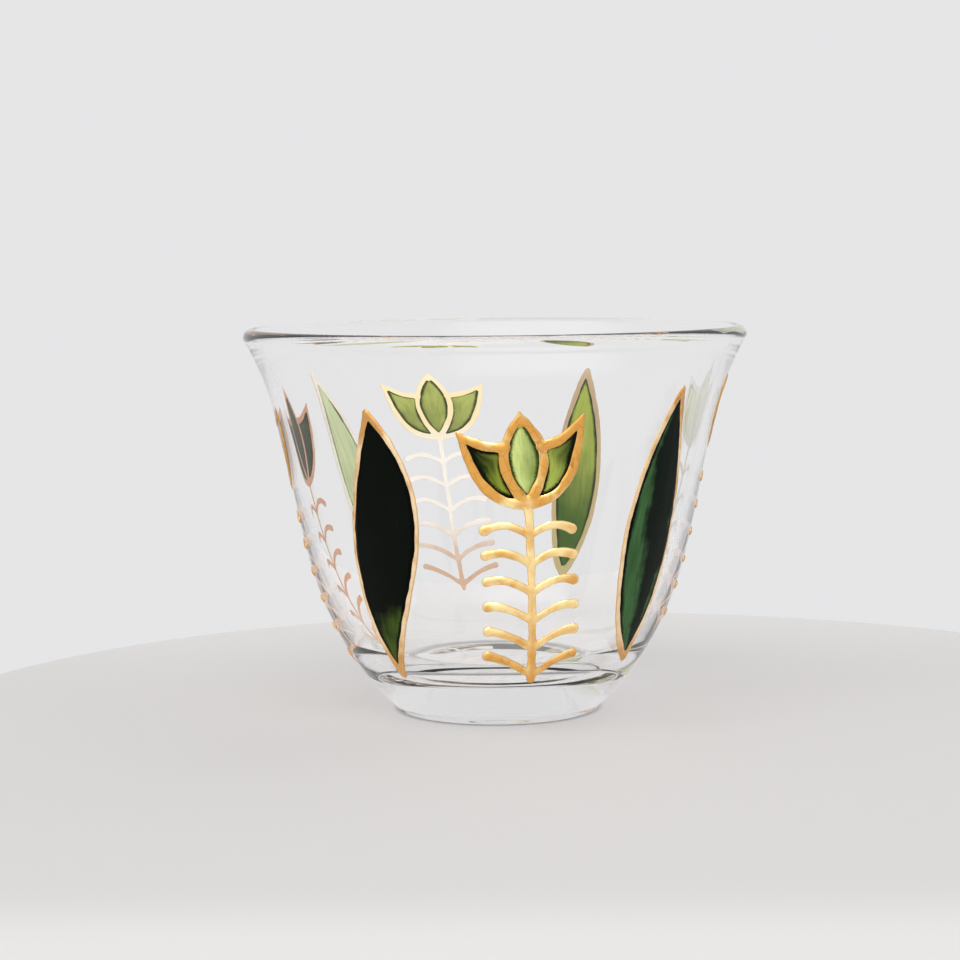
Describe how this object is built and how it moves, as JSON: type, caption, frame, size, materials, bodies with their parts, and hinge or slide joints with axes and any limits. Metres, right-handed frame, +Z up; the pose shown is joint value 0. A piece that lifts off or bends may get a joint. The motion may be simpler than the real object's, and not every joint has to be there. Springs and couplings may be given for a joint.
{
  "type": "glass coffee cup",
  "caption": "Small stemless clear glass cup with a thick foot and a flared lip, painted with tulips and leaves in raised gold line and green enamel.",
  "frame": {"origin": "centre of the foot, on the surface that the cup stands on", "axes": "+Z up along the turning axis, -Y towards the front tulip, +X to the right of it"},
  "size_m": [0.066, 0.066, 0.0506],
  "materials": {
    "clear_glass": "clear, fire polished",
    "gold_paste": "raised gold relief paste, satin",
    "petal_green": "transparent yellow-green glass enamel, glossy",
    "leaf_green": "transparent dark green glass enamel, glossy"
  },
  "bodies": {
    "root": {"glass_cup": "clear_glass", "tulip_1_gold_line": "gold_paste", "tulip_1_left_petal": "petal_green", "tulip_1_middle_petal": "petal_green", "tulip_1_right_petal": "petal_green", "tulip_2_gold_line": "gold_paste", "tulip_2_left_petal": "petal_green", "tulip_2_middle_petal": "petal_green", "tulip_2_right_petal": "petal_green", "tulip_3_gold_line": "gold_paste", "tulip_3_left_petal": "petal_green", "tulip_3_middle_petal": "petal_green", "tulip_3_right_petal": "petal_green", "tulip_4_gold_line": "gold_paste", "tulip_4_left_petal": "petal_green", "tulip_4_middle_petal": "petal_green", "tulip_4_right_petal": "petal_green", "leaf_1_gold_line": "gold_paste", "leaf_1_green_fill": "leaf_green", "leaf_2_gold_line": "gold_paste", "leaf_2_green_fill": "leaf_green", "leaf_3_gold_line": "gold_paste", "leaf_3_green_fill": "leaf_green", "leaf_4_gold_line": "gold_paste", "leaf_4_green_fill": "leaf_green"}
  },
  "joints": []
}
